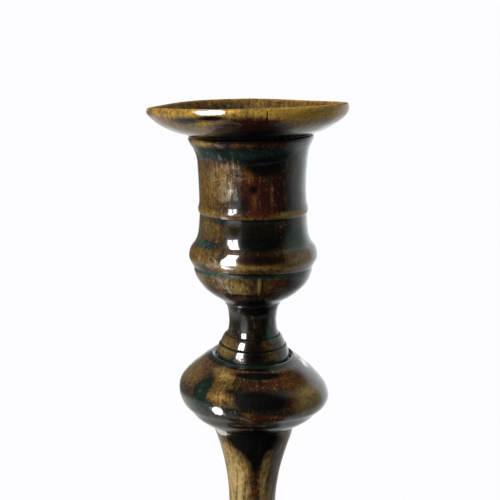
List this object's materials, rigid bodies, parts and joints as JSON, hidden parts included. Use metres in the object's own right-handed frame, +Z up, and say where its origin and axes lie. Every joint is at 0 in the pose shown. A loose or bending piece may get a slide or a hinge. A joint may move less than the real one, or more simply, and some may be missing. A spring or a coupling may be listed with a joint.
{
  "type": "candlestick",
  "caption": "Turned brass push-up candlestick with a loose drip pan, vase-shaped socket, ringed neck, bulbous knop, tapered stem and domed foot.",
  "frame": {"origin": "on the table, under the middle of the foot, where the upright axis meets the resting face", "axes": "+Z up along the turned axis to the candle's mouth; the button's pin lies along X"},
  "size_m": [0.106, 0.106, 0.1905],
  "materials": {
    "foot_brass": "patinated and worn, semi-gloss",
    "washer_iron": "rust-browned",
    "nut_brass": "dull, unpolished",
    "lower_collar_brass": "patinated and worn, semi-gloss",
    "stem_brass": "rubbed brass with brown streaks, semi-gloss",
    "bush_brass": "dull",
    "knop_brass": "dark brown and green patina, rubbed gold patches, glossy",
    "neck_brass": "dark brown patina, green in the grooves, glossy",
    "socket_brass": "dark brown and green patina, rubbed gold patches, glossy",
    "pan_brass": "olive brown patina, worn at the rim, glossy",
    "pan_tube_brass": "dull brown brass",
    "rod_iron": "drawn iron, browned",
    "plate_brass": "dull, wax stained",
    "button_brass": "rubbed",
    "pin_iron": "iron"
  },
  "bodies": {
    "stand": {"foot": "foot_brass", "foot_washer": "washer_iron", "foot_nut": "nut_brass", "lower_collar": "lower_collar_brass", "stem": "stem_brass", "guide_bush": "bush_brass", "knop": "knop_brass", "ringed_neck": "neck_brass", "candle_socket": "socket_brass"},
    "pan": {"drip_pan": "pan_brass", "pan_collar": "pan_tube_brass"},
    "ejector": {"push_rod": "rod_iron", "ejector_plate": "plate_brass", "push_button": "button_brass", "button_pin": "pin_iron"}
  },
  "joints": [
    {"name": "pan_lift", "type": "slide", "parent": "stand", "child": "pan", "axis": [0, 0, 1], "range_m": [0, 0.03]},
    {"name": "ejector_push", "type": "slide", "parent": "stand", "child": "ejector", "axis": [0, 0, 1], "range_m": [0, 0.023]}
  ]
}
